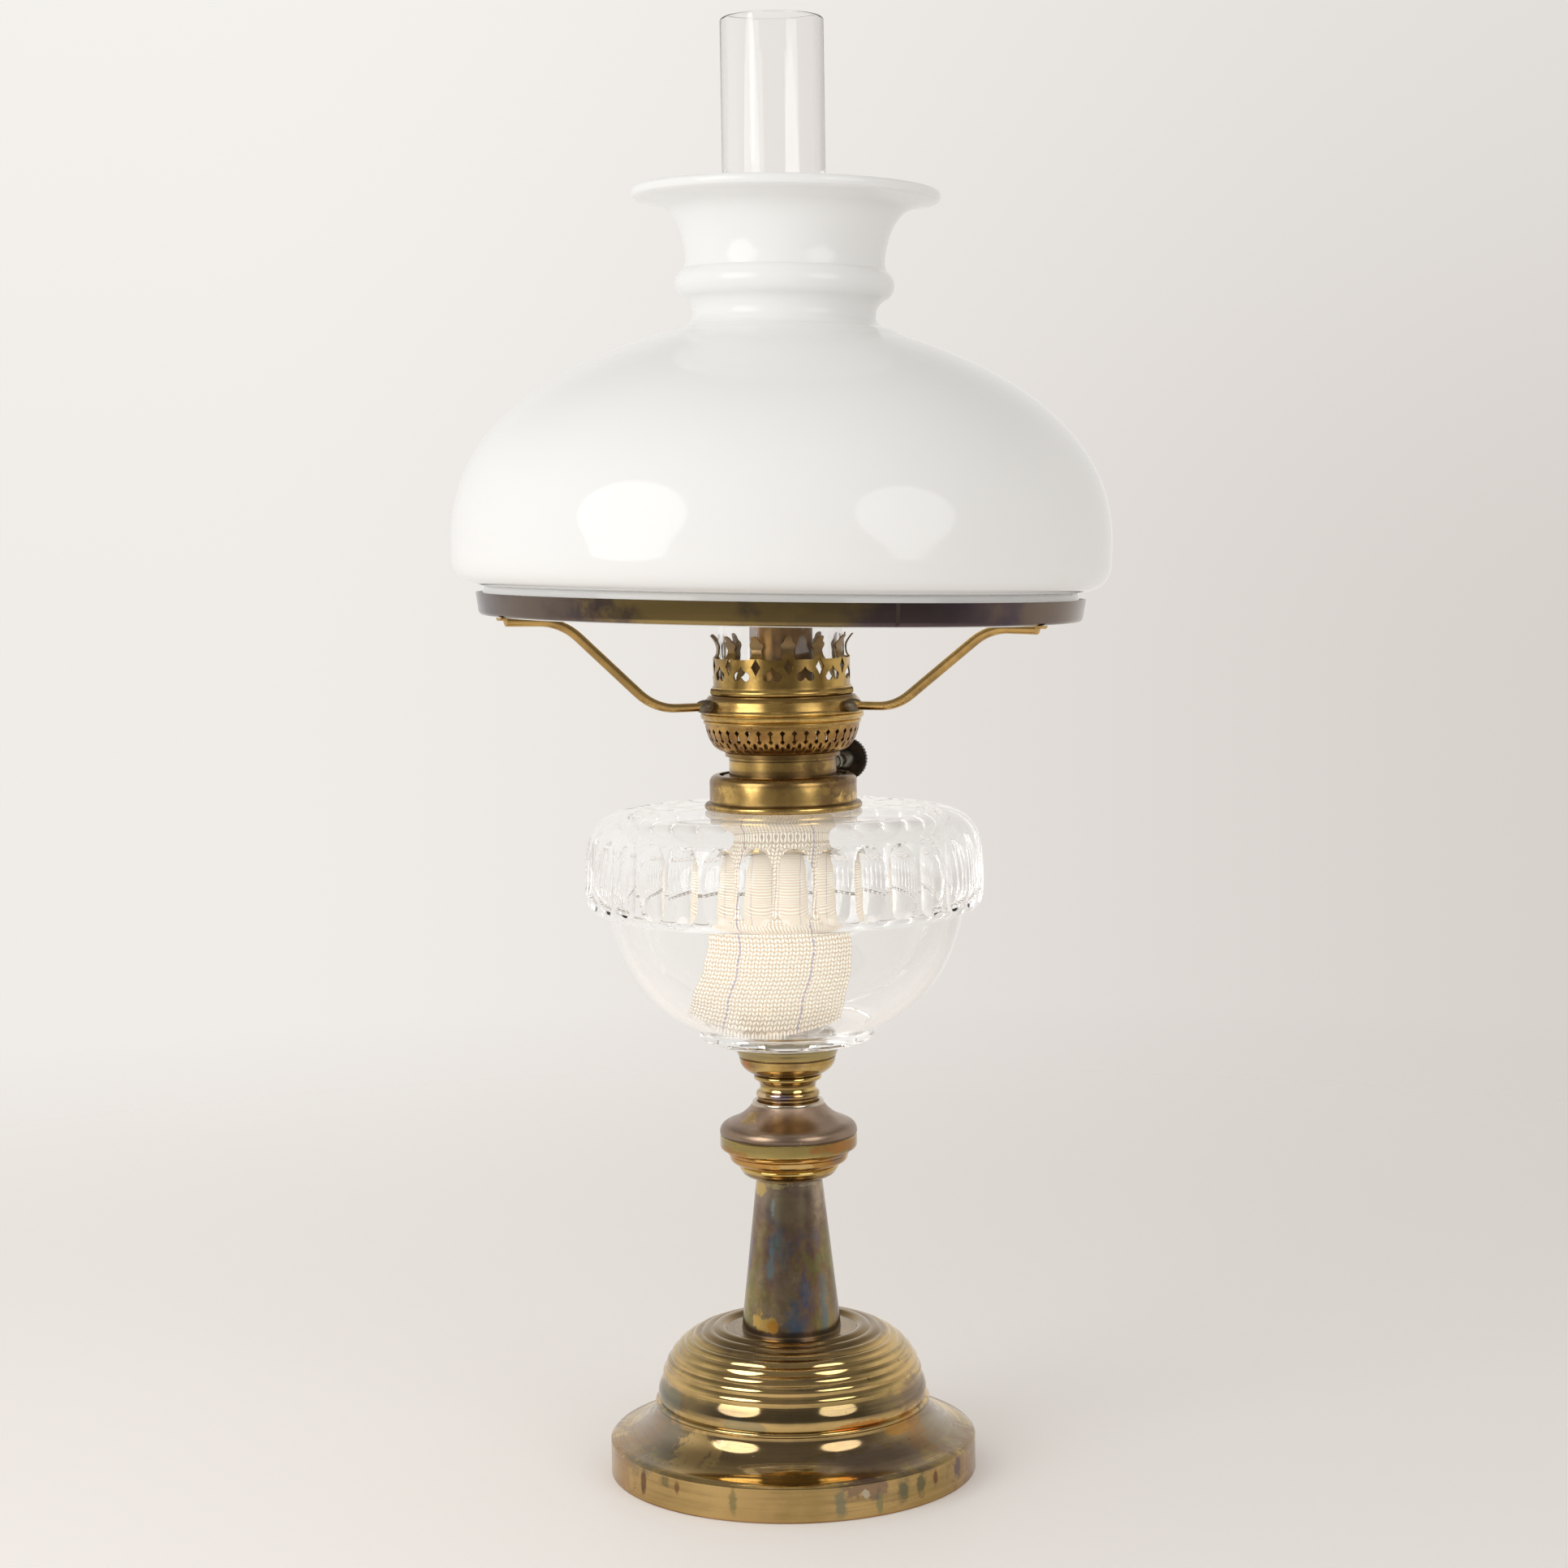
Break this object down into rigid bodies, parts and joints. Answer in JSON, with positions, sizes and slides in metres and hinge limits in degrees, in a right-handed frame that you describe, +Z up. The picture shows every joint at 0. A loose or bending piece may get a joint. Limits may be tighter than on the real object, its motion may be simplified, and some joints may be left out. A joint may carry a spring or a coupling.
{
  "type": "kerosene table lamp",
  "caption": "Kerosene table lamp with a spun brass foot and stem, fluted glass font, round-wick burner, clear chimney and opal dome shade on a ring with arms.",
  "frame": {"origin": "middle of the foot's underside, on the table", "axes": "+Z up along the lamp's axis; the picture looks along +Y, with +X to its right"},
  "size_m": [0.2599, 0.2598, 0.5758],
  "materials": {
    "foot_brass": "spun brass, polished, with brown tarnish",
    "dark_brass": "spun brass under a dark iridescent tarnish",
    "bright_brass": "turned brass, warm gold with brown bands",
    "collar_brass": "spun brass, aged",
    "burner_brass": "stamped brass, aged",
    "brown_brass": "brass browned by heat",
    "ring_brass": "brass under a purple-brown tarnish",
    "arm_brass": "half-round brass strip, aged",
    "solder": "dull soft solder",
    "iron": "rough cast iron",
    "steel": "drawn steel, dull",
    "plaster": "fitter's plaster",
    "knob_black": "dark hard rubber",
    "wick_cotton": "woven cotton webbing",
    "clear_glass": "clear cut glass",
    "chimney_glass": "thin clear glass",
    "opal_glass": "opal glass, glossy"
  },
  "bodies": {
    "stand": {"foot": "foot_brass", "ballast_plate": "iron", "rod_washer": "steel", "rod_nuts": "steel", "tie_rod": "steel", "column": "dark_brass", "knop_lower": "bright_brass", "knop_upper": "dark_brass", "stem_neck": "bright_brass", "font_cup": "bright_brass", "cup_cement": "plaster", "font": "clear_glass", "font_collar": "collar_brass", "collar_cement": "plaster", "bayonet_ring": "collar_brass"},
    "burner": {"burner_neck": "burner_brass", "burner_deck": "burner_brass", "basket": "burner_brass", "burner_shoulder": "burner_brass", "wick_tube": "brown_brass", "draught_tube": "brown_brass", "spindle_bracket": "burner_brass", "spindle_gland": "steel"},
    "wick_drive": {"spindle": "steel", "wick_sprockets": "burner_brass", "knob_hub": "steel", "knob": "knob_black", "knob_rivet": "steel"},
    "wick": {"wick": "wick_cotton"},
    "gallery": {"gallery_ring": "burner_brass", "gallery_sleeve": "brown_brass", "gallery_floor": "brown_brass", "gallery_coronet": "burner_brass"},
    "chimney": {"chimney": "chimney_glass"},
    "shade_holder": {"shade_ring": "ring_brass", "tripod_base": "burner_brass", "arm_left": "arm_brass", "arm_right": "arm_brass", "arm_back": "arm_brass", "arm_solder": "solder"},
    "shade": {"shade": "opal_glass"}
  },
  "joints": [
    {"name": "burner_bayonet", "type": "hinge", "parent": "stand", "child": "burner", "pos_m": [0, 0, 0.279], "axis": [0, 0, 1], "range_deg": [0, 45]},
    {"name": "knob_turn", "type": "hinge", "parent": "burner", "child": "wick_drive", "pos_m": [0.01456, -0.00559, 0.2846], "axis": [0.3584, 0.9336, 0], "range_deg": [0, 112]},
    {"name": "wick_rise", "type": "slide", "parent": "burner", "child": "wick", "axis": [0, 0, 1], "range_m": [0, 0.008]},
    {"name": "gallery_turn", "type": "hinge", "parent": "burner", "child": "gallery", "pos_m": [0, 0, 0.3124], "axis": [0, 0, 1], "range_deg": [0, 270]},
    {"name": "chimney_lift", "type": "slide", "parent": "gallery", "child": "chimney", "axis": [0, 0, 1], "range_m": [0, 0.2]},
    {"name": "holder_swivel", "type": "hinge", "parent": "burner", "child": "shade_holder", "pos_m": [0, 0, 0.3054], "axis": [0, 0, 1], "continuous": true},
    {"name": "shade_lift", "type": "slide", "parent": "shade_holder", "child": "shade", "axis": [0, 0, 1], "range_m": [0, 0.24]}
  ],
  "couplings": [
    {"joint": "knob_turn", "follows": "wick_rise", "rad_per_m": 243.9}
  ]
}
